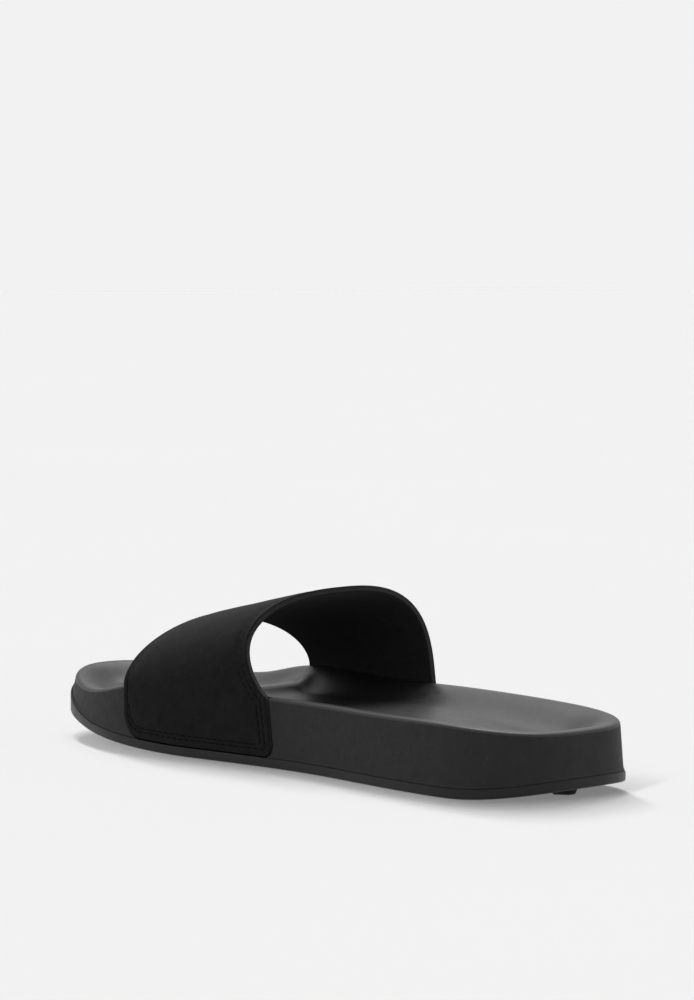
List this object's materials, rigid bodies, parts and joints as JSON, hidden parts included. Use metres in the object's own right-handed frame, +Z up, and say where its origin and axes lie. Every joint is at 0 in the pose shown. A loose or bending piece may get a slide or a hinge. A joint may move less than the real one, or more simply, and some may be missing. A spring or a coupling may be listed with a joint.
{
  "type": "slide sandal",
  "caption": "Right-foot sport slide sandal: moulded footbed sole with a rubber outsole and one wide padded strap over the instep, open at toe and heel.",
  "frame": {"origin": "on the floor, under the middle of the shoe's length and width", "axes": "+X towards the toe, +Y towards the medial (big toe) side, +Z up; the shoe stands on z = 0"},
  "size_m": [0.28, 0.0999, 0.0698],
  "materials": {
    "outsole_rubber": "dull black rubber, lightly grained",
    "midsole_foam": "matte charcoal moulded foam with a fine skin grain",
    "strap_fabric": "very matte black coated fabric over padding, twin seams along its edges"
  },
  "bodies": {
    "root": {"outsole": "outsole_rubber", "midsole": "midsole_foam", "strap": "strap_fabric"}
  },
  "joints": []
}
